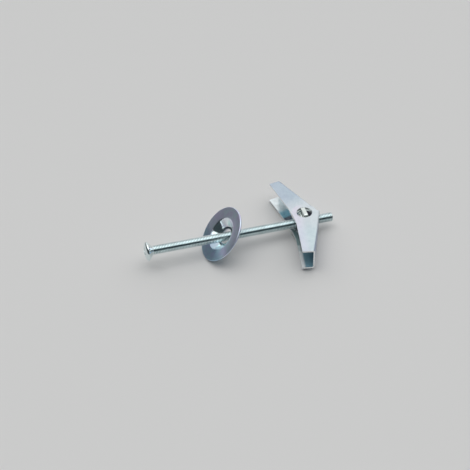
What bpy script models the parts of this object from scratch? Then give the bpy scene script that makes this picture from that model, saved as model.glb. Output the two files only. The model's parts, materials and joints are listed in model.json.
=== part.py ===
"""Spring toggle bolt: raised countersunk screw, dished washer, and a sprung two-winged toggle.

Everything is drawn in the bolt's own axes, in metres. The screw lies along X with its crown at 0,
the toggle's pivot stands along Z, and wing a points to +Y. The whole bolt is then laid on the
ground at z = 0 as it comes to rest, on the washer's rim and on the toggle's back corner.
"""
import bpy
import bmesh
import math
from mathutils import Matrix, Vector

MM = 0.001

# fits
RUN = 0.30 * MM            # running gap between pieces that touch
# screw
SHANK_R = 2.45 * MM        # over the thread
LENGTH = 101.3 * MM        # crown to end
HEAD_R = 5.0 * MM
CROWN = 1.4 * MM           # height of the raised face
HEAD_EDGE = 0.35 * MM
CONE_END = HEAD_R - SHANK_R            # the underside slopes at 45 degrees
END_CHAMFER = 0.5 * MM
RECESS_R = 2.6 * MM        # reach of the cross recess at its mouth
RECESS_HALF = 0.62 * MM    # half the width of each slot at its mouth
RECESS_DEPTH = 3.0 * MM
# washer
WASHER_R = 15.0 * MM
WASHER_T = 1.0 * MM
WASHER_AT = 43.8 * MM      # where its hole sits on the screw
WASHER_LEAN = math.radians(40.9)
FLOOR_R = 5.7 * MM         # flat floor of the dish
LIP_R = 8.9 * MM           # inner edge of the rim
DISH = 3.3 * MM            # depth of the dish below the rim's inner edge
RIM_RISE = 0.3 * MM        # the rim climbs this much towards its outer edge
DISH_BEND = 1.3 * MM
# a leaning sheet needs a wider hole to let the screw through
HOLE_R = ((2 * (SHANK_R + 0.8 * RUN) + WASHER_T * math.sin(WASHER_LEAN))
          / (2 * math.cos(WASHER_LEAN)))
# toggle
PIVOT_AT = 86.0 * MM       # pivot's place on the screw
OPEN = math.radians(75)    # wing to screw, measured from the head's side
SHEET = 0.9 * MM
TOGGLE_HALF = 6.5 * MM     # pivot centre to the outermost cheek's face
TIP_BACK = (30.4 * MM, 4.1 * MM)       # tip corner at the web, along and across the wing
TIP_EDGE = (30.9 * MM, -2.35 * MM)     # tip corner at the bearing edge
WEB_AT = 7.95 * MM         # web's outer face, abreast of the pivot
LOBE_R = 6.6 * MM          # round end of each cheek, about the pivot
KNEE = 6.8 * MM            # from here to the round end the bearing edge runs square to the screw
STOP_GAP = RUN             # between the two webs where they butt
BEND_R = 1.3 * MM          # outside of the fold
SCREW_NOTCH = SHANK_R + 0.7 * MM
# nut
NUT_HALF_X = 2.2 * MM
NUT_HALF_Y = 4.2 * MM
LUG_HALF_X = 1.1 * MM
LUG_HALF_Y = 3.2 * MM
LUG_PROUD = 0.7 * MM       # upper lug's end stands this far out of its outer cheek
LUG_PLAY = 0.7 * MM        # from a lug's corners to its hole
# spring
WIRE_R = 0.325 * MM
TURN_GAP = 0.05 * MM
LEG = 14.0 * MM
BRIDGE = 13.0 * MM
BRIDGE_BEND = 1.1 * MM

# levels along the pivot, from the middle outwards
OUTER_IN = TOGGLE_HALF - SHEET
INNER_OUT = OUTER_IN - RUN
INNER_IN = INNER_OUT - SHEET
PIVOT_HOLE_R = math.hypot(LUG_HALF_X, LUG_HALF_Y) + LUG_PLAY
COIL_R = math.hypot(NUT_HALF_X, NUT_HALF_Y) + RUN + WIRE_R + 0.06 * MM
WEB_SLOPE = (TIP_BACK[1] - WEB_AT) / TIP_BACK[0]
BORE_R = SHANK_R + RUN


def steel(name, colour, rough):
    """A plated steel finish."""
    mat = bpy.data.materials.new(name)
    mat.use_nodes = True
    shader = mat.node_tree.nodes["Principled BSDF"]
    shader.inputs["Base Color"].default_value = (*colour, 1)
    shader.inputs["Metallic"].default_value = 1
    shader.inputs["Roughness"].default_value = rough
    return mat


def finish(name, bm, mat=None):
    """Close a mesh into a named object with every face looking out."""
    bmesh.ops.recalc_face_normals(bm, faces=bm.faces[:])
    mesh = bpy.data.meshes.new(name)
    bm.to_mesh(mesh)
    bm.free()
    ob = bpy.data.objects.new(name, mesh)
    bpy.context.collection.objects.link(ob)
    if mat:
        mesh.materials.append(mat)
    return ob


def rings(name, loops, mat=None, closed=False):
    """Skin a row of equal rings of points; the ends are capped, or joined to each other."""
    bm = bmesh.new()
    rows = [[bm.verts.new(p) for p in loop] for loop in loops]
    pairs = list(zip(rows, rows[1:] + rows[:1])) if closed else list(zip(rows, rows[1:]))
    for a, b in pairs:
        for i in range(len(a)):
            j = (i + 1) % len(a)
            bm.faces.new((a[i], a[j], b[j], b[i]))
    if not closed:
        bm.faces.new(rows[0][::-1])
        bm.faces.new(rows[-1])
    return finish(name, bm, mat)


def turned(name, profile, count, mat=None, closed=False):
    """Turn (along, radius) points about the X axis."""
    loops = []
    for x, r in profile:
        loops.append([(x, r * math.cos(2 * math.pi * k / count), r * math.sin(2 * math.pi * k / count))
                      for k in range(count)])
    return rings(name, loops, mat, closed)


def prism(name, outline, low, high, mat=None, fold=None, fold_r=0, fold_steps=4):
    """Stand a flat outline up between two levels; fold names the side whose two edges are rounded."""
    bm = bmesh.new()
    base = [bm.verts.new((x, y, low)) for x, y in outline]
    top = [bm.verts.new((x, y, high)) for x, y in outline]
    bm.faces.new(base[::-1])
    bm.faces.new(top)
    n = len(outline)
    for i in range(n):
        bm.faces.new((base[i], base[(i + 1) % n], top[(i + 1) % n], top[i]))
    if fold is not None:
        folded = [bm.edges.get([row[fold], row[(fold + 1) % n]]) for row in (base, top)]
        bmesh.ops.bevel(bm, geom=folded, offset=fold_r, segments=fold_steps, affect='EDGES',
                        profile=0.5)
    return finish(name, bm, mat)


def cut(ob, tool):
    """Take one solid out of another, keeping the tool out of sight."""
    tool.hide_render = True
    tool.display_type = 'WIRE'
    mod = ob.modifiers.new(tool.name, 'BOOLEAN')
    mod.operation = 'DIFFERENCE'
    mod.solver = 'EXACT'
    mod.object = tool


def smooth(ob, degrees=30):
    """Shade curved faces smooth and leave true edges sharp."""
    mesh = ob.data
    mesh.shade_smooth()
    mesh.set_sharp_from_angle(angle=math.radians(degrees))


def rounded(points, radius, steps):
    """Replace each inner corner of a line by an arc of one radius."""
    out = [Vector(points[0])]
    for a, b, c in zip(points, points[1:], points[2:]):
        a, b, c = Vector(a), Vector(b), Vector(c)
        back, ahead = (a - b).normalized(), (c - b).normalized()
        half = back.angle(ahead) / 2
        reach = radius / math.tan(half)
        centre = b + (back + ahead).normalized() * (radius / math.sin(half))
        start, end = b + back * reach - centre, b + ahead * reach - centre
        for k in range(steps + 1):
            out.append(centre + start.slerp(end, k / steps).normalized() * radius)
    out.append(Vector(points[-1]))
    return out


def wire(name, line, radius, count, mat):
    """Sweep a round wire along a line of points without twist."""
    loops = []
    side = None
    for i, p in enumerate(line):
        ahead = (line[min(i + 1, len(line) - 1)] - line[max(i - 1, 0)]).normalized()
        if side is None:
            side = ahead.orthogonal()
        side = (side - ahead * side.dot(ahead)).normalized()
        other = ahead.cross(side)
        loops.append([p + (side * math.cos(2 * math.pi * k / count)
                           + other * math.sin(2 * math.pi * k / count)) * radius
                      for k in range(count)])
    return rings(name, loops, mat)


def build_screw():
    """Raised countersunk screw with a cross recess and a chamfered end."""
    sphere = (HEAD_R ** 2 + CROWN ** 2) / (2 * CROWN)
    profile = []
    for k in range(1, 8):
        r = HEAD_R * k / 7
        profile.append((sphere - math.sqrt(sphere ** 2 - r ** 2), r))
    base = CROWN + HEAD_EDGE
    profile += [(base, HEAD_R), (base + CONE_END - 0.35 * MM, SHANK_R + 0.35 * MM),
                (base + CONE_END - 0.05 * MM, SHANK_R + 0.1 * MM), (base + CONE_END + 0.4 * MM, SHANK_R)]
    profile += [(LENGTH - END_CHAMFER, SHANK_R), (LENGTH, SHANK_R - END_CHAMFER)]
    ob = turned("screw", profile, 48, steel("screw_steel", (0.62, 0.66, 0.70), 0.25))
    loops = []
    for x, reach, half in ((-1 * MM, RECESS_R * 1.3, RECESS_HALF * 1.2), (RECESS_DEPTH, 1.0 * MM, 0.35 * MM)):
        corner = [(reach, half), (half, half), (half, reach)]
        loop = []
        for turn in range(4):
            c, s = math.cos(turn * math.pi / 2), math.sin(turn * math.pi / 2)
            loop += [(x, c * y - s * z, s * y + c * z) for y, z in corner]
        loops.append(loop)
    cut(ob, rings("recess_tool", loops))
    return ob


def build_washer():
    """Round dished washer pressed from sheet, hollow towards the screw's head."""
    middle = rounded([(HOLE_R, 0, 0), (FLOOR_R, 0, 0), (LIP_R, DISH, 0),
                      (WASHER_R, DISH + RIM_RISE, 0)], DISH_BEND, 4)
    front, back = [], []
    for i, p in enumerate(middle):
        along = (middle[min(i + 1, len(middle) - 1)] - middle[max(i - 1, 0)]).normalized()
        normal = Vector((-along.y, along.x, 0))
        front.append(p + normal * WASHER_T / 2)
        back.append(p - normal * WASHER_T / 2)
    soften = 0.25
    a, b = front[-1], back[-1]
    out = (middle[-1] - middle[-2]).normalized() * WASHER_T * soften
    front[-1], back[-1] = a - out, b - out
    edge = [a + (b - a) * soften, b + (a - b) * soften]
    section = front + edge + back[::-1]
    ob = turned("washer", [(-p.y, p.x) for p in section], 72,
                steel("washer_steel", (0.55, 0.57, 0.63), 0.28), closed=True)
    ob.data.transform(Matrix.Rotation(WASHER_LEAN, 4, 'Y'))
    return ob


def build_nut():
    """Flat threaded nut with two thinner lugs in the cheeks' holes: the lower one ends flush."""
    waist = INNER_IN - RUN
    upper = [(NUT_HALF_Y, waist), (LUG_HALF_Y, waist), (LUG_HALF_Y, TOGGLE_HALF + LUG_PROUD)]
    lower = [(NUT_HALF_Y, -waist), (LUG_HALF_Y, -waist), (LUG_HALF_Y, -TOGGLE_HALF)]
    outline = (upper + [(-y, z) for y, z in upper[::-1]] + [(-y, z) for y, z in lower] + lower[::-1])
    ob = prism("nut", outline, -NUT_HALF_X, NUT_HALF_X, steel("nut_steel", (0.60, 0.64, 0.66), 0.3))
    ob.data.transform(Matrix(((0, 0, 1, 0), (1, 0, 0, 0), (0, 1, 0, 0), (0, 0, 0, 1))))
    far = 9 * MM
    for side in (1, -1):
        near, out = side * LUG_HALF_X, side * far
        step = [(near, -far), (out, -far), (out, far), (near, far)]
        cut(ob, prism("nut_step_tool", step, waist, far))
        cut(ob, prism("nut_step_tool", step, -far, -waist))
    cut(ob, turned("nut_bore_tool", [(-5 * MM, BORE_R), (5 * MM, BORE_R)], 40))
    return ob


def web_out(u):
    """Distance of the web's outer face from the wing's own line."""
    return WEB_AT + WEB_SLOPE * u


def web_in(u):
    """Distance of the web's inner face from the wing's own line."""
    return web_out(u) - SHEET * math.hypot(1, WEB_SLOPE)


def across(side, u, v):
    """Wing's own along and across to the bolt's X and Y, about the pivot."""
    return (-u * math.cos(OPEN) + v * math.sin(OPEN),
            side * (u * math.sin(OPEN) + v * math.cos(OPEN)))


def wing_outline():
    """Cheek outline: stop edge, web, tip, bearing edge with its knee, round end."""
    stop = STOP_GAP / 2
    c, s = math.cos(OPEN), math.sin(OPEN)
    u0 = (stop - WEB_AT * c) / (s + WEB_SLOPE * c)
    knee = (LOBE_R * c + KNEE * s, KNEE * c - LOBE_R * s)
    points = [(u0, web_out(u0)), TIP_BACK, TIP_EDGE, knee]
    # the round end runs from the head's side to the plane between the two wings
    first = math.atan2(-s, c)
    turn = math.pi - math.asin(stop / LOBE_R)
    steps = 18
    for k in range(steps + 1):
        a = first - turn * k / steps
        points.append((LOBE_R * math.cos(a), LOBE_R * math.sin(a)))
    return points


def build_wing(name, side, mat):
    """Wing folded from sheet into a channel that is open towards the head."""
    outer_level = -side * TOGGLE_HALF
    inner_level = side * INNER_OUT
    low, high = min(outer_level, inner_level), max(outer_level, inner_level)
    place = [across(side, u, v) for u, v in wing_outline()]
    ob = prism(name, place, low, high, mat, fold=0, fold_r=BEND_R)
    far = 40 * MM
    hollow = [across(side, -far, web_in(-far)), across(side, far, web_in(far)),
              across(side, far, -far), across(side, -far, -far)]
    cut(ob, prism(name + "_hollow_tool", hollow, low + SHEET, high - SHEET, fold=0,
                  fold_r=BEND_R - SHEET, fold_steps=3))
    hole = turned(name + "_hole_tool", [(-9 * MM, PIVOT_HOLE_R), (9 * MM, PIVOT_HOLE_R)], 36)
    hole.data.transform(Matrix.Rotation(math.pi / 2, 4, 'Y'))
    cut(ob, hole)
    cut(ob, turned(name + "_notch_tool", [(NUT_HALF_X, SCREW_NOTCH), (far, SCREW_NOTCH)], 32))
    return ob


def build_spring():
    """One wire: two legs in wing a, a coil above and below the screw, a bridge in wing b."""
    start_level = SHANK_R + RUN + WIRE_R

    def touch(u):
        """Point where a leg that ends at u leaves the coil, as an angle from the wing's line."""
        v = web_in(u) - RUN - WIRE_R
        return v, math.atan2(v, u) + math.acos(COIL_R / math.hypot(u, v))

    leg_v, leg_angle = touch(LEG)
    bridge_v, bridge_angle = touch(BRIDGE)
    first = math.pi - OPEN - leg_angle
    last = -(math.pi - OPEN - bridge_angle) - 2 * math.pi
    climb = (2 * WIRE_R + TURN_GAP) * (first - last) / (2 * math.pi)
    end_level = start_level + climb
    upper = [Vector((*across(1, LEG, leg_v), start_level))]
    steps = 40
    for k in range(steps + 1):
        a = first + (last - first) * k / steps
        upper.append(Vector((COIL_R * math.cos(a), COIL_R * math.sin(a), start_level + climb * k / steps)))
    corner = Vector((*across(-1, BRIDGE, bridge_v), end_level))
    bend = rounded([upper[-1], corner, corner * 1.0 - Vector((0, 0, end_level))], BRIDGE_BEND, 5)
    upper += bend[1:-1]
    lower = [Vector((p.x, p.y, -p.z)) for p in upper[::-1]]
    return wire("spring", upper + lower, WIRE_R, 10, steel("spring_steel", (0.50, 0.54, 0.55), 0.3))


def lay_down(pieces):
    """Tip the bolt until the washer's rim and the toggle's back corner both touch the ground."""
    washer = [v.co + Vector((WASHER_AT, 0, 0)) for v in pieces["washer"].data.vertices]
    back = max(across(1, u, v)[0] for u, v in wing_outline()) - BEND_R
    corner = (PIVOT_AT + back, -TOGGLE_HALF)
    tilt = 0
    for _ in range(4):
        low = min(washer, key=lambda p: p.z * math.cos(tilt) - p.x * math.sin(tilt))
        tilt = math.atan2(corner[1] - low.z, corner[0] - low.x)
    turn = Matrix.Rotation(tilt, 4, 'Y')
    lift = -min((turn @ p).z for p in washer)
    return Matrix.Translation((-LENGTH / 2, 0, lift)) @ turn


def main():
    """Make every piece and set it in its place."""
    for ob in list(bpy.data.objects):
        bpy.data.objects.remove(ob, do_unlink=True)
    pieces = {"screw": build_screw(), "washer": build_washer(), "nut": build_nut(), "spring": build_spring()}
    for name, side in (("wing_a", 1), ("wing_b", -1)):
        pieces[name] = build_wing(name, side, steel(name + "_steel", (0.72, 0.77, 0.82), 0.22))
    stand = lay_down(pieces)
    places = {"screw": 0, "washer": WASHER_AT}
    for name, ob in pieces.items():
        smooth(ob)
        place = stand @ Matrix.Translation((places.get(name, PIVOT_AT), 0, 0))
        for part in [ob] + [mod.object for mod in ob.modifiers]:
            part.matrix_world = place


main()
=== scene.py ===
import json
import math

import bmesh
import bpy
import numpy as np
from mathutils import Matrix


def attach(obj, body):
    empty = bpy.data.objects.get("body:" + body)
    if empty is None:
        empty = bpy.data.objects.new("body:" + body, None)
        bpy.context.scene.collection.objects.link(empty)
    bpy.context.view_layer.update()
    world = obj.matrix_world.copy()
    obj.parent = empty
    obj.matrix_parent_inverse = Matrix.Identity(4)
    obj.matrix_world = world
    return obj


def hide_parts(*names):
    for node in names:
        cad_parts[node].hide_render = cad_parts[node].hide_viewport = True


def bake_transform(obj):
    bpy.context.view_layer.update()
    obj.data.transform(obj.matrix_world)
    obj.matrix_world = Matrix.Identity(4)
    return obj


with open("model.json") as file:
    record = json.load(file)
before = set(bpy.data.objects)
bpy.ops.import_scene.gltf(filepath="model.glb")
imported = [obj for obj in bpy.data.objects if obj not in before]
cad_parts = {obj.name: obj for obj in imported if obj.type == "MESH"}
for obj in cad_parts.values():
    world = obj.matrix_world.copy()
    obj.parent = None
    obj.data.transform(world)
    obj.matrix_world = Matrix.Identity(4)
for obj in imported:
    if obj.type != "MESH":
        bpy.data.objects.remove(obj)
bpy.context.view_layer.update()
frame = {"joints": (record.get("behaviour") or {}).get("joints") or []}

# ---------------------------------------------------------------- screw
# A raised countersunk screw, cold headed from steel wire, with a cross recess punched into the
# crown and a rolled right-hand thread of 0.8 mm pitch. Bright zinc plating with a cool tint. It
# carries the washer and the toggle, and both run along it.

MM = 0.001
SHARP = math.radians(50)
MERGED, COLLAPSED = 0.0008 * MM, 0.0004 * MM
JOINTS = {joint["name"]: joint for joint in frame["joints"]}
ALONG = np.array(JOINTS["toggle_travel"]["axis"])
UP = np.array(JOINTS["wing_a_fold"]["axis"])
LEFT = np.cross(UP, ALONG)
PIVOT = np.array(JOINTS["wing_a_fold"]["pos_m"])
PIVOT_AT = 86.0
CROWN_AT = PIVOT - PIVOT_AT * MM * ALONG


def laid(along, left, up):
    """Millimetres in the bolt's own axes, crown at 0, to the place where the bolt lies: the crown's
    place plus each length along its own axis."""
    along, left, up = np.broadcast_arrays(along, left, up)
    return CROWN_AT + MM * (along[..., None] * ALONG + left[..., None] * LEFT + up[..., None] * UP)


def shell(name, grids, outward=None):
    """One mesh from grids of points, each rows x columns x 3: four neighbours make a face, and
    points that fall together are merged, which closes seams and poles. A closed mesh is turned to
    face outwards; an open one is turned so that its faces look along outward."""
    points, faces, first = [], [], 0
    for grid in grids:
        rows, columns = grid.shape[:2]
        index = first + np.arange(rows * columns).reshape(rows, columns)
        corners = [index[:-1, :-1], index[:-1, 1:], index[1:, 1:], index[1:, :-1]]
        faces.append(np.stack(corners, -1).reshape(-1, 4))
        points.append(grid.reshape(-1, 3))
        first += rows * columns
    mesh = bpy.data.meshes.new(name)
    mesh.from_pydata(np.concatenate(points), [], np.concatenate(faces).tolist())
    work = bmesh.new()
    work.from_mesh(mesh)
    bmesh.ops.remove_doubles(work, verts=work.verts, dist=MERGED)
    bmesh.ops.dissolve_degenerate(work, edges=work.edges, dist=COLLAPSED)
    bmesh.ops.recalc_face_normals(work, faces=work.faces)
    work.to_mesh(mesh)
    work.free()
    if outward is not None:
        normals = np.empty(len(mesh.polygons) * 3)
        mesh.polygons.foreach_get("normal", normals)
        if (normals.reshape(-1, 3) @ outward).sum() < 0:
            mesh.flip_normals()
    mesh.shade_smooth()
    piece = bpy.data.objects.new(name, mesh)
    bpy.context.collection.objects.link(piece)
    return piece


class Finish:
    """A socket in a material: arithmetic on it adds Math nodes, and node() adds any other kind."""

    def __init__(self, tree, socket=None):
        self.tree, self.socket = tree, socket

    def node(self, kind, settings=None, values=None, out=0):
        """A node of one kind. Its settings are set first, then its sockets take values or links."""
        made = self.tree.nodes.new(kind)
        for setting, value in (settings or {}).items():
            setattr(made, setting, value)
        for socket, value in (values or {}).items():
            if isinstance(value, Finish):
                self.tree.links.new(value.socket, made.inputs[socket])
            else:
                made.inputs[socket].default_value = value
        return Finish(self.tree, made.outputs[out] if made.outputs else None)

    def maths(self, operation, *terms):
        """A Math node on numbers or sockets."""
        return self.node("ShaderNodeMath", {"operation": operation}, dict(enumerate(terms)))

    def __add__(self, other):
        return self.maths("ADD", self, other)

    __radd__ = __add__

    def __sub__(self, other):
        return self.maths("SUBTRACT", self, other)

    def __rsub__(self, other):
        return self.maths("SUBTRACT", other, self)

    def __mul__(self, other):
        return self.maths("MULTIPLY", self, other)

    __rmul__ = __mul__

    def noise(self, scale, detail=2.0, rough=0.5):
        """Soft noise read at this point, about 0.5 in the middle."""
        return self.node("ShaderNodeTexNoise", {},
                         {"Vector": self, "Scale": scale, "Detail": detail, "Roughness": rough})

    def vector(self, operation, other, out=0):
        """A Vector Math node on this and another vector."""
        return self.node("ShaderNodeVectorMath", {"operation": operation}, {0: self, 1: other},
                         out)

    def stretched(self, along, left, up):
        """This point with each axis scaled: a pattern runs long where the scale is small."""
        return self.vector("MULTIPLY", (along, left, up))

    def step(self, low, high):
        """0 below low, 1 above high, eased between."""
        return self.node("ShaderNodeMapRange", {"interpolation_type": "SMOOTHSTEP"},
                         {0: self, 1: low, 2: high})

    def blend(self, one, other):
        """Colour one where this is 0, colour other where it is 1."""
        return self.node("ShaderNodeMix", {"data_type": "RGBA"}, {0: self, 6: one, 7: other},
                         out=2)


WHITEST = (0.95, 0.97, 0.98)
CLOUDS, SCUFFS, PITS, GRAIN_DEPTH = 0.21, 0.9, 5.5, 0.012


def plated(name, centre, turn, pale, deep, dull, rough, grain, marks=0.5, metal=1.0, tints_and_painted_light=()):
    """Zinc plating on steel. On the piece's own axes, in millimetres, the plating goes from pale to
    deep in clouds of about 1 / CLOUDS, and scuffs and pits are smaller. grain is the stretch of the
    fine lines that rolling, drawing or turning left; marks is how much of the surface is lightly
    scuffed; dull is its colour in the scuffs and pits. Each tint is how the place is measured from
    the centre (LENGTH of the place stretched by a vector, or DOT_PRODUCT with it), where the tint
    starts and is full, what it multiplies the colour by, and how much rougher it is. Most tints
    are painted light: painted shade, painted highlight or painted reflection put into the colour."""
    material = bpy.data.materials.new(name)
    material.use_nodes = True
    tree = material.node_tree
    tree.nodes.clear()
    start = Finish(tree)
    place = start.node("ShaderNodeTexCoord", out="Object")
    place = place.node("ShaderNodeMapping", {"vector_type": "TEXTURE"},
                       {"Vector": place, "Location": tuple(centre), "Rotation": turn,
                        "Scale": (MM, MM, MM)})
    cloud = place.noise(CLOUDS, 3.0, 0.55)
    fine = place.stretched(*grain).noise(1.0, 3.0, 0.6)
    lines = place.stretched(*[2.6 * g for g in grain]).noise(1.0, 1.0)
    scuff = (place.noise(SCUFFS, 4.0, 0.65) * 0.6 + fine * 0.4).step(0.60 - 0.08 * marks, 0.72)
    pits = place.noise(PITS, 2.0, 0.6).step(0.67, 0.78)
    colour = cloud.step(0.32, 0.70).blend(pale, deep)
    rougher = 0.0
    for measure, direction, start_at, full_at, tint, duller in tints_and_painted_light:
        far = place if measure == "DOT_PRODUCT" else place.stretched(*direction)
        share = far.vector(measure, direction, out="Value").step(start_at, full_at)
        tinted = colour.vector("MULTIPLY", tint).vector("MINIMUM", WHITEST)
        colour = share.blend(colour, tinted)
        rougher = share * duller + rougher
    colour = (scuff * 0.45 * marks + pits * 0.30).blend(colour, dull)
    roughness = ((cloud - 0.5) * 0.10 + (fine - 0.5) * 0.12 + scuff * 0.14 * marks + pits * 0.10
                 + rough + rougher)
    height = fine * 0.6 + lines * 0.4 - pits * 0.8
    bump = height.node("ShaderNodeBump", {},
                       {"Height": height, "Strength": 0.35, "Distance": GRAIN_DEPTH * MM})
    shader = bump.node("ShaderNodeBsdfPrincipled", {},
                       {"Base Color": colour, "Metallic": metal, "Roughness": roughness,
                        "Normal": bump})
    shader.node("ShaderNodeOutputMaterial", {}, {"Surface": shader})
    return material


HEAD_R, CROWN, UNDER, NECK, FULLNESS = 5.0, 1.95, 2.08, 4.30, 2.2
CREST_R, ROOT_R, BLANK_R = 2.45, 2.02, 2.33
LENGTH, PITCH, THREAD_FROM, CHAMFER = 101.3, 0.8, 4.55, 0.5
RECESS_DEPTH, RECESS_TAPER = 3.0, 4.0
RECESS_REACH, RECESS_HALF = (3.38, 1.0), (0.744, 0.35)
ARM_CORNER, MOUTH_EDGE = (2.57, 0.62), 0.07
END_RINGS, END_SUNK = [CREST_R - CHAMFER, 1.90, 1.2, 0.5, 0.0], [0.0, 0.01, 0.03, 0.05, 0.05]
ROUND = 64


def crown(r):
    """Height of the raised face below its top: a flat oval, a little fuller than an ellipse, that
    turns square to the rim."""
    return CROWN * (1 - (1 - np.minimum(r / HEAD_R, 1) ** FULLNESS) ** (1 / FULLNESS))


def recess(angle, depth):
    """Distance from the middle to the cross's wall. From each arm's centre line the wall is the
    arm's end at reach / cos, or its side at half / sin, whichever is nearer; both taper inwards."""
    part = (np.asarray(depth) + 1) / RECESS_TAPER
    reach = RECESS_REACH[0] + (RECESS_REACH[1] - RECESS_REACH[0]) * part
    half = RECESS_HALF[0] + (RECESS_HALF[1] - RECESS_HALF[0]) * part
    off = np.abs((angle + math.pi / 4) % (math.pi / 2) - math.pi / 4)
    return np.minimum(reach / np.cos(off), half / np.maximum(np.sin(off), 1e-6))


def screw_head():
    """Rings from the recess's floor up its walls, over the crown, round the rim and down the
    underside to the blank. The recess opens where its wall meets the crown, found by repeating.
    The angles bunch at the cross's corners by the recess and are even at the rim."""
    arm = math.atan2(ARM_CORNER[1], ARM_CORNER[0])
    quarter = np.concatenate([np.linspace(-math.pi / 4, -arm, 7)[:-1],
                              np.linspace(-arm, arm, 5)[:-1],
                              np.linspace(arm, math.pi / 4, 7)[:-1]])
    crossed = (quarter[None] + np.arange(4)[:, None] * math.pi / 2).ravel()
    even = -math.pi / 4 + 2 * math.pi * np.arange(ROUND) / ROUND
    crossed, even = [np.append(a, a[0] + 2 * math.pi) for a in (crossed, even)]
    mouth_r = recess(crossed, 0.2)
    for _ in range(5):
        mouth_r = recess(crossed, crown(mouth_r))
    rings = [(crossed, np.zeros(ROUND + 1), RECESS_DEPTH + 0 * crossed)]
    for share in (0.98, 0.9, 0.6, 0.25):
        depth = crown(mouth_r) * (1 - share) + RECESS_DEPTH * share
        rings.append((crossed, recess(crossed, depth) * (0.93 if share > 0.95 else 1.0), depth))
    rings.append((crossed, recess(crossed, crown(mouth_r) + 0.09), crown(mouth_r) + 0.09))
    rings.append((crossed, mouth_r + 0.015, crown(mouth_r) + 0.025))
    rings.append((crossed, mouth_r + MOUTH_EDGE, crown(mouth_r + MOUTH_EDGE)))
    for share in (0.06, 0.14, 0.24, 0.36, 0.5, 0.62, 0.73, 0.82, 0.89, 0.945, 0.98):
        r = (mouth_r + MOUTH_EDGE) * (1 - share) + (HEAD_R - 0.02) * share
        rings.append((crossed * (1 - share) + even * share, r, crown(r)))
    profile = [(crown(4.98), 4.98), (crown(4.996), 4.996), (CROWN, HEAD_R),
               (UNDER - 0.07, HEAD_R), (UNDER - 0.01, 4.975), (UNDER + 0.06, 4.92),
               ((UNDER + NECK) / 2, (HEAD_R + CREST_R) / 2), (NECK - 0.35, 2.87),
               (NECK - 0.16, 2.67), (NECK, 2.52), (NECK + 0.15, 2.39), (THREAD_FROM, BLANK_R)]
    rings += [(even, r + 0 * even, x + 0 * even) for x, r in profile]
    angle, r, x = np.array(rings).transpose(1, 0, 2)
    return laid(x, r * np.cos(angle), r * np.sin(angle))


def screw_thread():
    """Rows follow the thread: point j of row i stands at pitch x (turn + share + j / round), so the
    crest is one row. The radius steps between crest and root over eight rows a turn, fades in
    from the blank over the first turn, and is cut by the chamfer at the end."""
    share = np.array([0.0, 0.14, 0.19, 0.45, 0.50, 0.55, 0.81, 0.86])
    level = np.array([1.0, 1.0, 0.93, 0.06, 0.0, 0.06, 0.93, 1.0])
    turns = int((LENGTH - THREAD_FROM) / PITCH) + 3
    rows = (np.arange(turns)[:, None] + share).ravel()
    column = np.arange(ROUND + 1)
    angle = -math.pi / 4 + 2 * math.pi * column / ROUND
    x = THREAD_FROM + PITCH * (rows[:, None] - 1.5 + column / ROUND)
    x = np.clip(x, THREAD_FROM, LENGTH)
    phase = ((x - THREAD_FROM) / PITCH - column / ROUND + 1.5) % 1
    cut = np.interp(phase, np.append(share, 1.0), np.append(level, 1.0))
    fade = np.clip((x - THREAD_FROM) / PITCH, 0, 1)
    r = BLANK_R + (ROOT_R + (CREST_R - ROOT_R) * cut - BLANK_R) * fade * fade * (3 - 2 * fade)
    r = np.minimum(r, CREST_R - CHAMFER + LENGTH - x)
    return laid(x, r * np.cos(angle), r * np.sin(angle))


def screw_end():
    """Flat sheared end, very slightly hollow, as rings closing on the middle."""
    angle = -math.pi / 4 + 2 * math.pi * np.arange(ROUND + 1) / ROUND
    r, sunk = np.array(END_RINGS)[:, None], np.array(END_SUNK)[:, None]
    return laid(LENGTH - sunk, r * np.cos(angle), r * np.sin(angle))


screw = shell("screw_rolled", [screw_head(), screw_thread(), screw_end()])
screw.data.set_sharp_from_angle(angle=SHARP)
middle = np.empty(len(screw.data.polygons) * 3)
screw.data.polygons.foreach_get("center", middle)
along = (middle.reshape(-1, 3) - CROWN_AT) @ ALONG / MM
on_thread = (along > THREAD_FROM) & (along < LENGTH - 0.04)
screw.data.polygons.foreach_set("material_index", on_thread.astype(np.int32))
DIP = math.asin(-ALONG[2])
# Painted shade: the groove tint darkens the metal towards the thread's roots.
groove_painted_shade = ("LENGTH", (0, 1, 1), 2.42, 2.12, (0.58, 0.66, 0.68), 0.08)
for name, tints_and_painted_light in (("screw_bright_zinc", ()), ("screw_thread_painted_groove_shade_zinc", (groove_painted_shade,))):
    screw.data.materials.append(plated(
        name, CROWN_AT, (0, DIP, 0), pale=(0.84, 0.93, 0.94, 1), deep=(0.74, 0.83, 0.84, 1),
        dull=(0.48, 0.54, 0.56, 1), rough=0.10, grain=(3.0, 9.0, 9.0), marks=0.4, tints_and_painted_light=tints_and_painted_light))
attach(screw, "screw")
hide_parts("screw")

# ---------------------------------------------------------------- washer
# A round dished washer, pressed from 1 mm sheet: flat floor with the screw's hole, a steep wall and
# a wide rim. The zinc is bright in the dish and duller on the rim. It hangs loose on the screw and
# leans, with its rim on the ground.

WASHER_T, WASHER_AT, LEAN = 1.0, 43.8, math.radians(40.9)
HOLE_R, FLOOR_R, LIP_R, RIM_R = 3.992, 5.7, 8.9, 15.0
DISH, RIM_RISE = 3.3, 0.3
EDGE_R, RIM_EDGE, TIGHT, WIDE = 0.22, 0.44, 0.8, 1.8


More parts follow.
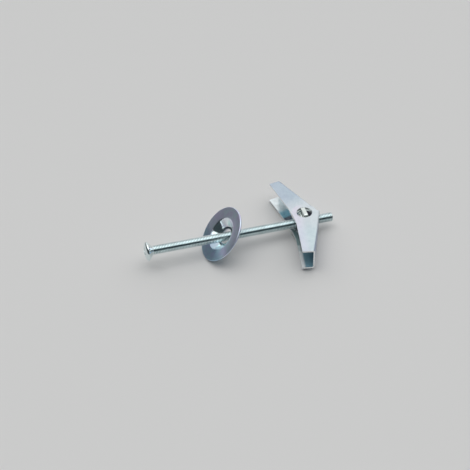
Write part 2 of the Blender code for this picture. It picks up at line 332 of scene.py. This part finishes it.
def rounded(corners, radii, steps=7):
    """Closed line whose corners are arcs: each centre lies on the corner's bisector, radius / sin
    of half the corner away, and the arc is swept between the two tangent points."""
    corners, radii = np.array(corners, float), np.array(radii, float)[:, None]
    back, ahead = np.roll(corners, 1, 0) - corners, np.roll(corners, -1, 0) - corners
    back /= np.linalg.norm(back, axis=1, keepdims=True)
    ahead /= np.linalg.norm(ahead, axis=1, keepdims=True)
    half = np.arccos(np.clip((back * ahead).sum(1, keepdims=True), -1, 1)) / 2
    middle = back + ahead
    centre = corners + middle / np.linalg.norm(middle, axis=1, keepdims=True) * radii / np.sin(half)
    one = corners + back * radii / np.tan(half) - centre
    two = corners + ahead * radii / np.tan(half) - centre
    turn = (math.pi - 2 * half)[:, :, None]
    part = np.linspace(0, 1, steps)[None, :, None]
    arcs = np.sin((1 - part) * turn) * one[:, None] + np.sin(part * turn) * two[:, None]
    return (centre[:, None] + arcs / np.sin(turn)).reshape(-1, corners.shape[1])


def beside(line, gap):
    """Open line moved sideways by gap: each corner goes out along the mean of its two normals."""
    along = np.diff(line, axis=0)
    along /= np.linalg.norm(along, axis=1, keepdims=True)
    normal = np.stack([-along[:, 1], along[:, 0]], 1)
    one, two = np.vstack([normal[:1], normal]), np.vstack([normal, normal[-1:]])
    return line + gap * (one + two) / (1 + (one * two).sum(1, keepdims=True))


def washer_turned():
    """The sheet's section, its middle line moved half a thickness to each side, turned about the
    washer's own axis and leaned over."""
    middle = np.array([(HOLE_R, 0), (FLOOR_R, 0), (LIP_R, DISH), (RIM_R, DISH + RIM_RISE)])
    section = np.vstack([beside(middle, WASHER_T / 2), beside(middle, -WASHER_T / 2)[::-1]])
    section = rounded(section, [EDGE_R, TIGHT, WIDE, RIM_EDGE, RIM_EDGE, TIGHT, WIDE, EDGE_R])
    section = np.vstack([section, section[:1]])
    angle = 2 * math.pi * np.arange(193) / 192
    r, rise = section[:, :1], section[:, 1:]
    x, up = -rise + 0 * angle, r * np.sin(angle)
    return laid(WASHER_AT + x * math.cos(LEAN) + up * math.sin(LEAN), r * np.cos(angle),
                up * math.cos(LEAN) - x * math.sin(LEAN))


washer = shell("washer_pressed", [washer_turned()])
washer.data.set_sharp_from_angle(angle=SHARP)
washer.data.materials.append(plated(
    "washer_painted_lower_shade_zinc", laid(WASHER_AT, 0, 0), (0, DIP + LEAN, 0),
    pale=(0.80, 0.95, 0.94, 1), deep=(0.78, 0.77, 0.88, 1), dull=(0.46, 0.44, 0.52, 1),
    rough=0.08, grain=(9.0, 3.0, 3.0), marks=0.6,
    tints_and_painted_light=(("LENGTH", (0, 1, 1), 8.4, 9.4, (0.84, 0.82, 0.95), 0.28),
           # Painted shade: the second tint makes the washer darker and bluer towards its lower
           # part.
           ("DOT_PRODUCT", (0, 0, -1), 3.0, 8.0, (0.60, 0.76, 0.80), 0.0))))
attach(washer, "washer")
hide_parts("washer")

# ---------------------------------------------------------------- wings
# Two wings, each folded from one 0.9 mm sheet into a tapering channel that is open towards the
# head, with a punched pivot hole in both cheeks. Bright zinc over rolled sheet. The cheeks of one
# interleave with the other's, and both turn on the nut's lugs.

OPEN, SHEET, BROKEN_EDGE = math.radians(75), 0.9, 0.09
TIP_BACK, TIP_EDGE = np.array([30.4, 4.1]), np.array([30.9, -2.35])
WEB_AT = 7.95
WEB_SLOPE = (TIP_BACK[1] - WEB_AT) / TIP_BACK[0]
LOBE_R, KNEE, BEND_R = 6.6, 6.8, 1.3
STOP, NOTCH_R, PIVOT_HOLE_R = 0.15, 3.15, 4.084
OUTER_LEVEL, INNER_LEVEL, BOLT_LEVEL = 6.5, 5.3, 4.2
SIN, COS = math.sin(OPEN), math.cos(OPEN)
SPINE = np.array([1, WEB_SLOPE]) / math.hypot(1, WEB_SLOPE)
OUT = np.array([-SPINE[1], SPINE[0]])


def paced(line, gap):
    """The line with points added, evenly in each stretch, so that none is longer than gap."""
    length = np.linalg.norm(np.diff(line, axis=0), axis=1)
    count = np.maximum(1, np.ceil(length / gap)).astype(int)
    which = np.repeat(np.arange(len(count)), count)
    part = (np.arange(count.sum()) - np.repeat(np.cumsum(count) - count, count)) / count[which]
    return np.vstack([line[which] + part[:, None] * (line[which + 1] - line[which]), line[-1:]])


def folded(side):
    """The wing's outer skin. Across the fold, a level and a depth below the web's face run from one
    cheek round a bend, over the web and round the other bend; along it, each line starts at the
    stop plane or the screw's notch and ends at the tip. Each cheek is a web of lines from the
    pivot hole's circle to the cheek's own outline."""
    bend = np.linspace(0, math.pi / 2, 8)
    notch = NOTCH_R * np.sin(np.linspace(math.pi / 2, -math.pi / 2, 21))
    level = np.concatenate([OUTER_LEVEL - BEND_R + BEND_R * np.cos(bend), [BOLT_LEVEL], notch,
                            BEND_R - INNER_LEVEL - BEND_R * np.sin(bend)])
    depth = np.concatenate([BEND_R - BEND_R * np.sin(bend), [0], 0 * notch,
                            BEND_R - BEND_R * np.cos(bend)])
    lean = np.concatenate([np.sin(bend), [1], 1 + 0 * notch, np.cos(bend)])
    q = WEB_AT * OUT[1] - depth
    rise = OUT[0] * SIN + OUT[1] * COS
    clear = np.sqrt(np.maximum(NOTCH_R ** 2 - level ** 2, 0)) * (depth == 0)
    start = np.maximum(STOP, clear) + SHEET * rise * lean - q * rise
    start = start / (SPINE[0] * SIN + SPINE[1] * COS)
    tip, edge = [np.array([t @ SPINE, t @ OUT]) for t in (TIP_BACK, TIP_EDGE)]
    end = tip[0] + (q - tip[1]) * (edge[0] - tip[0]) / (edge[1] - tip[1])
    part = np.linspace(0, 1, 45)
    p = start[:, None] + (end - start)[:, None] * part
    uv = p[..., None] * SPINE + q[:, None, None] * OUT

    def placed(uv, level):
        """Along and across the wing, and its level, to the bolt's place."""
        u, v = uv[..., 0], uv[..., 1]
        return laid(PIVOT_AT - u * COS + v * SIN, side * (u * SIN + v * COS), -side * level)

    grids = [placed(uv, level[:, None])]
    knee = np.array([LOBE_R * COS + KNEE * SIN, KNEE * COS - LOBE_R * SIN])
    first = math.atan2(-SIN, COS)
    arc = first - (math.pi - math.asin(STOP / LOBE_R)) * np.linspace(0, 1, 25)
    lobe = LOBE_R * np.stack([np.cos(arc), np.sin(arc)], 1)
    for row, height in ((0, OUTER_LEVEL), (-1, -INNER_LEVEL)):
        rest = paced(np.vstack([uv[row][-1:], TIP_EDGE, knee, lobe, uv[row][:1]]), 1.0)
        outline = np.vstack([uv[row], rest[1:]])
        polar = np.unwrap(np.arctan2(outline[:, 1], outline[:, 0]))
        gone = np.append(0, np.cumsum(np.linalg.norm(np.diff(outline, axis=0), axis=1)))
        even = polar[0] + (polar[-1] - polar[0]) * gone / gone[-1]
        angle = 0.62 * polar + 0.38 * even
        hole = PIVOT_HOLE_R * np.stack([np.cos(angle), np.sin(angle)], 1)
        share = np.array([0, 0.06, 0.18, 0.36, 0.56, 0.76, 0.92, 1.0])[:, None, None]
        grids.append(placed(hole * (1 - share) + outline * share, height))
    return grids


# What the plating's colour is multiplied by, outside at the tip and by the channel's open mouth,
# and inside at the tip, by the nut and by the mouth; bare is how metallic the inside looks. The
# outer tip is a painted reflection, darker and bluer on wing a. The inside's own colour is painted
# shade on wing b and a painted teal reflection on wing a; inside, the tip carries a painted
# highlight, the nut painted shade and the mouth painted light where the upper cheek's shade ends.
TONES = {
    "wing_a": {"side": 1, "tip": (0.72, 0.78, 0.85), "mouth": (1.03, 1.01, 1.02),
               "inside": (0.38, 0.68, 0.82), "inner_tip_painted_highlight": (2.3, 1.4, 1.2), "bare": 0.9,
               "inner_nut_painted_shade": (0.60, 0.34, 0.33), "inner_mouth_painted_light": (1.0, 1.0, 1.0)},
    "wing_b": {"side": -1, "tip": (0.93, 1.0, 1.0), "mouth": (1.08, 0.98, 1.05),
               "inside": (0.10, 0.17, 0.20), "inner_tip_painted_highlight": (2.5, 2.6, 2.7), "bare": 0.15,
               "inner_nut_painted_shade": (0.40, 0.52, 0.52), "inner_mouth_painted_light": (7.0, 4.6, 4.0)}}


def opaque(colour, share=1.0):
    """The colour times share, with its alpha of 1."""
    return (*(share * part for part in colour), 1)


for name, tone in TONES.items():
    side = tone["side"]
    wing = shell(name + "_folded", folded(side), outward=ALONG)
    wall = wing.modifiers.new("sheet", "SOLIDIFY")
    wall.thickness, wall.offset, wall.use_even_offset = SHEET * MM, -1, True
    wall.material_offset, wall.material_offset_rim = 1, 2
    edge = wing.modifiers.new("edges", "BEVEL")
    edge.width, edge.segments, edge.limit_method = BROKEN_EDGE * MM, 2, "ANGLE"
    edge.angle_limit, edge.harden_normals = SHARP, True
    lie = (0, DIP, side * (math.pi / 2 - OPEN))
    from_mouth, from_web = (1, -0.1 * side, 0), (1, 0.163 * side, 0)
    wing.data.materials.append(plated(
        name + "_zinc", PIVOT, lie, pale=(0.72, 0.79, 0.83, 1), deep=(0.66, 0.73, 0.78, 1),
        dull=(0.50, 0.55, 0.58, 1), rough=0.15, grain=(7.0, 0.7, 7.0), marks=0.3, metal=0.8,
        # Painted light outside: the tip tint is a painted reflection, and the strip by the web is
        # painted shade on the web and its bend.
        tints_and_painted_light=(("LENGTH", (0, 1, 0), 5.0, 17.0, tone["tip"], 0.0),
               ("DOT_PRODUCT", from_mouth, 0.5, -4.5, tone["mouth"], 0.0),
               ("DOT_PRODUCT", from_web, 7.8, 8.4, (0.52, 0.51, 0.62), 0.1))))
    # Inside: its own colour is painted shade on wing b and a painted teal reflection on wing a; its
    # tints are painted shade by the nut, a painted highlight at the tip, painted light by the
    # mouth.
    wing.data.materials.append(plated(
        name + "_inside_painted_light_zinc", PIVOT, lie, pale=opaque(tone["inside"]),
        deep=opaque(tone["inside"], 0.8), dull=opaque(tone["inside"], 0.6), rough=0.25,
        grain=(7.0, 0.7, 7.0), marks=0.4, metal=tone["bare"],
        tints_and_painted_light=(("LENGTH", (0, 1, 0), 17.5, 20.5, tone["inner_tip_painted_highlight"], 0.0),
               ("LENGTH", (0, 1, 0), 14.8, 12.8, tone["inner_nut_painted_shade"], 0.0),
               ("DOT_PRODUCT", from_mouth, -3.0, -4.4, tone["inner_mouth_painted_light"], 0.0))))
    # The cut edges are rougher and less metallic; their paler colour is a painted highlight along
    # the edges.
    wing.data.materials.append(plated(
        name + "_sheared_painted_highlight_zinc", PIVOT, lie, pale=(0.93, 0.95, 0.96, 1), deep=(0.84, 0.87, 0.89, 1),
        dull=(0.60, 0.64, 0.66, 1), rough=0.24, grain=(4.0, 4.0, 0.8), marks=0.4, metal=0.6))
    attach(wing, name)
    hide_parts(name)

# ---------------------------------------------------------------- nut
# A flat nut sheared from bar, tapped for the screw, with a thinner lug at each end. The lugs stand
# loose in the wings' pivot holes, the upper one a little proud of its cheek and the lower one
# flush. Zinc plated like the rest.

NUT_HALF_X, NUT_HALF_Y, WAIST, BORE_R, BORE_SINK = 2.2, 4.2, 4.1, 2.75, 0.2
LUG_HALF_X, LUG_HALF_Y, LUG_UPPER, LUG_LOWER, BROKEN = 1.1, 3.2, 7.2, 6.5, 0.14


def nut_body():
    """Rings about the bore: out over the front face, along the outside, back over the rear face and
    through the bore. Each ring is the outline, drawn in a little at the broken edges."""
    corners = [(NUT_HALF_Y, -WAIST), (NUT_HALF_Y, WAIST),
               (-NUT_HALF_Y, WAIST), (-NUT_HALF_Y, -WAIST)]
    outline = rounded(corners, [0.35] * 4, 5)
    outline = paced(np.vstack([outline, outline[:1]]), 0.6)
    angle = np.arctan2(outline[:, 1], outline[:, 0])
    around = np.stack([np.cos(angle), np.sin(angle)], 1)
    inward = outline * (1 - BROKEN / np.linalg.norm(outline, axis=1, keepdims=True))
    bore, sink = around * BORE_R, around * (BORE_R + BORE_SINK)
    h, shoulder = NUT_HALF_X, NUT_HALF_X - BORE_SINK
    rows = [(bore, 0), (bore, -shoulder), (sink, -h), (inward, -h), (outline, BROKEN - h),
            (outline, h - BROKEN), (inward, h), (sink, h), (bore, shoulder), (bore, 0)]
    flat, x = np.array([r[0] for r in rows]), np.array([r[1] for r in rows])[:, None]
    return laid(PIVOT_AT + x + 0 * flat[..., 0], flat[..., 0], flat[..., 1])


def nut_lug(end, reach):
    """A closed bar: its rounded outline at rising levels, from a point inside the body, drawn in at
    the broken edges of its end and closing on the middle."""
    corners = [(LUG_HALF_X, -LUG_HALF_Y), (LUG_HALF_X, LUG_HALF_Y),
               (-LUG_HALF_X, LUG_HALF_Y), (-LUG_HALF_X, -LUG_HALF_Y)]
    outline = rounded(corners, [0.25] * 4, 5)
    outline = np.vstack([outline, outline[:1]])
    rows = [(0, 0, WAIST - 0.5), (1, 0, WAIST - 0.5), (1, 0, reach - BROKEN),
            (1, 0.3, reach - 0.3 * BROKEN), (1, 1, reach), (0, 0, reach)]
    flat = np.array([outline * keep - BROKEN * draw * np.sign(outline) for keep, draw, _ in rows])
    level = np.array([row[2] for row in rows])[:, None] + 0 * flat[..., 0]
    return laid(PIVOT_AT + flat[..., 0], flat[..., 1], end * level)


nut = shell("nut_block", [nut_body(), nut_lug(1, LUG_UPPER), nut_lug(-1, LUG_LOWER)])
nut.data.set_sharp_from_angle(angle=SHARP)
nut.data.materials.append(plated(
    "nut_zinc", PIVOT, (0, DIP, 0),
    pale=(0.80, 0.86, 0.84, 1), deep=(0.70, 0.77, 0.76, 1), dull=(0.44, 0.49, 0.50, 1),
    rough=0.14, grain=(6.0, 6.0, 1.0), marks=0.4))
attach(nut, "toggle")
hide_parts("nut")

# ---------------------------------------------------------------- spring
# One piece of 0.65 mm drawn spring wire: a leg in wing a, a turn about the nut, a leg along wing b,
# a bridge, and the same mirrored below the screw. It presses both wings open. The half turn on the
# head's side stays with the nut; the parts by the wings are fixed where they are laid.

WIRE_R, COIL_R, RUN = 0.325, 5.426, 0.30
LEG, BRIDGE, BRIDGE_BEND, STIFF_FROM = 14.0, 13.0, 1.1, 1.6
START_LEVEL = CREST_R + RUN + WIRE_R


def wire(line, normal):
    """Round wire along a line: circles in the plane of the given normal and the line's other
    normal, closed at both ends by a smaller circle and a point."""
    ahead = np.gradient(line, axis=0)
    ahead /= np.linalg.norm(ahead, axis=1, keepdims=True)
    other = np.cross(ahead, normal)
    angle = 2 * math.pi * np.arange(17) / 16
    ring = np.cos(angle)[:, None] * normal[:, None] + np.sin(angle)[:, None] * other[:, None]
    body = line[:, None] + WIRE_R * ring
    head = [line[0] + 0 * ring[0], line[0] + 0.8 * WIRE_R * ring[0]]
    tail = [line[-1] + 0.8 * WIRE_R * ring[-1], line[-1] + 0 * ring[-1]]
    body[0] += 0.05 * ahead[0]
    body[-1] -= 0.05 * ahead[-1]
    points = np.concatenate([head, body, tail])
    return laid(PIVOT_AT + points[..., 0], points[..., 1], points[..., 2])


def touch(u):
    """Where a leg that ends at u leaves the coil: its distance across the wing, and the angle of
    the tangent point from the wing's line."""
    v = WEB_AT + WEB_SLOPE * u - SHEET * math.hypot(1, WEB_SLOPE) - RUN - WIRE_R
    return v, math.atan2(v, u) + math.acos(COIL_R / math.hypot(u, v))


def spring_lines():
    """The upper half of the wire as three lines with their normals: leg and quarter turn by wing a,
    half turn on the head's side, quarter turn and leg by wing b down to the bridge's middle."""
    leg_v, leg_angle = touch(LEG)
    bridge_v, bridge_angle = touch(BRIDGE)
    first = math.pi - OPEN - leg_angle
    last = -(math.pi - OPEN - bridge_angle) - 2 * math.pi
    climb = (2 * WIRE_R + 0.05) * (first - last) / (2 * math.pi)

    def coil(a0, a1, steps):
        """Stretch of the coil: a circle that climbs with the angle."""
        a = np.linspace(a0, a1, steps)
        z = START_LEVEL + climb * (first - a) / (first - last)
        flat = np.stack([np.cos(a), np.sin(a), 0 * a], 1)
        return COIL_R * flat + z[:, None] * np.array([0, 0, 1]), flat

    def straight(a, b, steps):
        return a + (b - a) * np.linspace(0, 1, steps)[:, None]

    one, one_n = coil(first, -math.pi / 2, 26)
    half, half_n = coil(-math.pi / 2, -1.5 * math.pi, 41)
    two, two_n = coil(-1.5 * math.pi, last, 26)
    leg_end = np.array([-LEG * COS + leg_v * SIN, LEG * SIN + leg_v * COS, START_LEVEL])
    leg = straight(leg_end, one[0], 12)
    corner = np.array([-BRIDGE * COS + bridge_v * SIN, -(BRIDGE * SIN + bridge_v * COS),
                       START_LEVEL + climb])
    middle = corner * np.array([1, 1, 0])
    bend = rounded([two[-1], corner, middle], [0.01, BRIDGE_BEND, 0.01], 9)[9:18]
    arm = np.vstack([straight(two[-1], bend[0], 12)[1:-1], bend, straight(bend[-1], middle, 6)[1:]])
    line_a = np.vstack([leg[:-1], one])
    normal_a = np.vstack([np.repeat(one_n[:1], len(leg) - 1, 0), one_n])
    line_b = np.vstack([two, arm])
    normal_b = np.vstack([two_n, np.repeat(two_n[-1:], len(arm), 0)])
    return (line_a, normal_a), (half, half_n), (line_b, normal_b)


MIRROR = np.array([1, 1, -1])
(leg, leg_n), (coil, coil_n), (arm, arm_n) = spring_lines()
wires = {
    "spring_leg_upper": (wire(leg, leg_n), "wing_a", 1),
    "spring_leg_lower": (wire(leg * MIRROR, leg_n), "wing_a", 1),
    "spring_coil_upper": (wire(coil, coil_n), None, 0),
    "spring_coil_lower": (wire(coil * MIRROR, coil_n), None, 0),
    "spring_bridge": (wire(np.vstack([arm, (arm * MIRROR)[::-1][1:]]),
                           np.vstack([arm_n, arm_n[::-1][1:]])), "wing_b", -1)}
spring_zinc = plated(
    "spring_zinc", PIVOT, (0, DIP, 0),
    pale=(0.60, 0.64, 0.66, 1), deep=(0.48, 0.52, 0.55, 1), dull=(0.30, 0.33, 0.35, 1),
    rough=0.16, grain=(5.0, 5.0, 5.0), marks=0.5)
for name, (grid, wing_body, side) in wires.items():
    stretch = shell(name, [grid])
    stretch.data.set_sharp_from_angle(angle=SHARP)
    stretch.data.materials.append(spring_zinc)
    if wing_body:
        tuple(PIVOT - side * COIL_R * MM * LEFT)
        tuple(PIVOT + side * STIFF_FROM * MM * LEFT)
        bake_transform(stretch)
    else:
        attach(stretch, "toggle")
    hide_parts("spring")

# ---------------------------------------------------------------- studio
# A pale floor under the bolt, one soft panel overhead and a wide pale sky that leans to the back,
# so that the flat cheeks mirror it. The sky on the near side stays dark, and gives the dark line
# along the screw.

PANEL_UP, PANEL_SIDE, PANEL_WHITE = 1.35, 1.5, 0.75
SKY_TOWARD, SKY_EDGE, FLOOR_HALF = (0.25, 0.42, 0.872), (0.34, 0.62), 40.0
lamp = bpy.data.lights.new("panel_overhead", "AREA")
lamp.shape, lamp.size, lamp.size_y = "RECTANGLE", PANEL_SIDE, PANEL_SIDE
lamp.energy = PANEL_WHITE * math.pi * PANEL_SIDE ** 2
holder = bpy.data.objects.new("panel_overhead", lamp)
bpy.context.collection.objects.link(holder)
holder.matrix_world = Matrix.Translation((0, 0, PANEL_UP))

across = np.array([-FLOOR_HALF, FLOOR_HALF])
floor = shell("floor", [np.stack([*np.meshgrid(across, across), np.zeros((2, 2))], -1)],
              outward=np.array([0, 0, 1]))
paint = bpy.data.materials.new("floor_pale")
paint.use_nodes = True
matt = paint.node_tree.nodes["Principled BSDF"]
matt.inputs["Base Color"].default_value = (0.72, 0.72, 0.715, 1)
matt.inputs["Roughness"].default_value = 0.9
matt.inputs["Specular IOR Level"].default_value = 0.0
floor.data.materials.append(paint)

world = bpy.data.worlds.new("room")
world.use_nodes = True
world.node_tree.nodes.clear()
sky = Finish(world.node_tree)
toward = sky.node("ShaderNodeTexCoord", out="Generated")
bright = toward.vector("DOT_PRODUCT", SKY_TOWARD, out="Value").step(*SKY_EDGE)
light = bright.blend((0.044, 0.056, 0.062, 1), (0.90, 0.90, 0.90, 1))
sky.node("ShaderNodeOutputWorld", {}, {"Surface": sky.node(
    "ShaderNodeBackground", {}, {"Color": light, "Strength": 1.0})})
bpy.context.scene.world = world
bpy.context.scene.view_settings.view_transform = "Standard"

CAMERA_LENS, CAMERA_AT = 102.538, (-0.120005, -0.509414, 0.46718)
CAMERA_TURN = [[0.961989, -0.268255, -0.051146], [0.214406, 0.625917, 0.749838],
               [-0.169134, -0.732302, 0.659641]]
lens = bpy.data.cameras.new("camera")
lens.sensor_width, lens.lens = 36, CAMERA_LENS
camera = bpy.data.objects.new("camera", lens)
bpy.context.collection.objects.link(camera)
camera.matrix_world = Matrix([[*[axis[i] for axis in CAMERA_TURN], CAMERA_AT[i]] for i in range(3)]
                             + [[0, 0, 0, 1]])
bpy.context.scene.camera = camera
